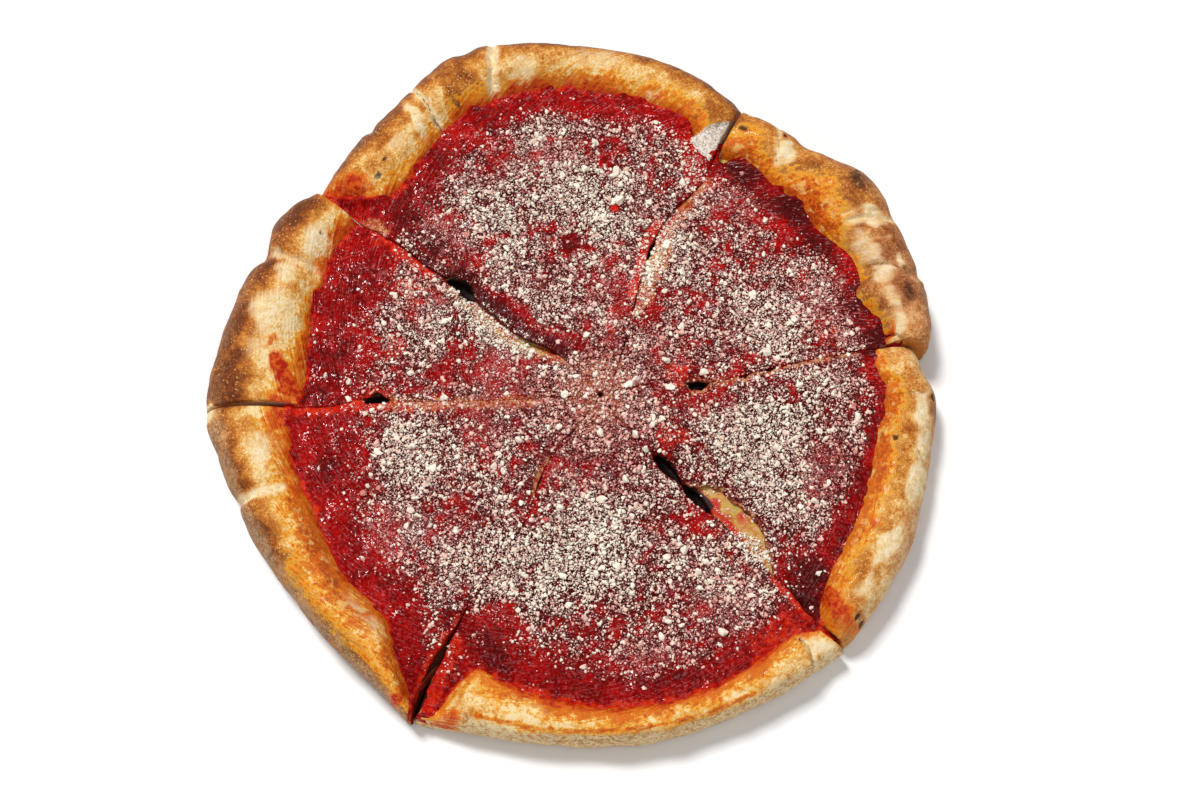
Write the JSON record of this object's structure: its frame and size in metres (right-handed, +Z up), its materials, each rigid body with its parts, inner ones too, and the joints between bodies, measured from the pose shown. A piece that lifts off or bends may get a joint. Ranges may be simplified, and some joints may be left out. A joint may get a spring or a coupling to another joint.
{
  "type": "deep dish pizza",
  "caption": "Round deep dish pizza with a raised puffy crust, red tomato sauce and grated hard cheese, cut into wedges that still lie together.",
  "frame": {"origin": "middle of the bounding box in plan, on the surface the pizza lies on", "axes": "+Z up out of the sauce; +Y towards the widest slice, so that seen from above with +X to the right that slice is at the top"},
  "size_m": [0.3024, 0.3048, 0.0282],
  "materials": {
    "crust": "baked dough, cream to golden brown, dry and lightly floured outside, oily and orange beside the sauce",
    "melted_cheese": "melted cheese, pale yellow, soft sheen",
    "tomato_sauce": "thick tomato sauce, deep red, wet gloss",
    "grated_cheese": "dry grated hard cheese, cream white, matte"
  },
  "bodies": {
    "root": {"crust_1": "crust", "cheese_1": "melted_cheese", "sauce_1": "tomato_sauce", "crust_2": "crust", "cheese_2": "melted_cheese", "sauce_2": "tomato_sauce", "crust_3": "crust", "cheese_3": "melted_cheese", "sauce_3": "tomato_sauce", "crust_4": "crust", "cheese_4": "melted_cheese", "sauce_4": "tomato_sauce", "crust_5": "crust", "cheese_5": "melted_cheese", "sauce_5": "tomato_sauce", "crust_6": "crust", "cheese_6": "melted_cheese", "sauce_6": "tomato_sauce"}
  },
  "joints": []
}
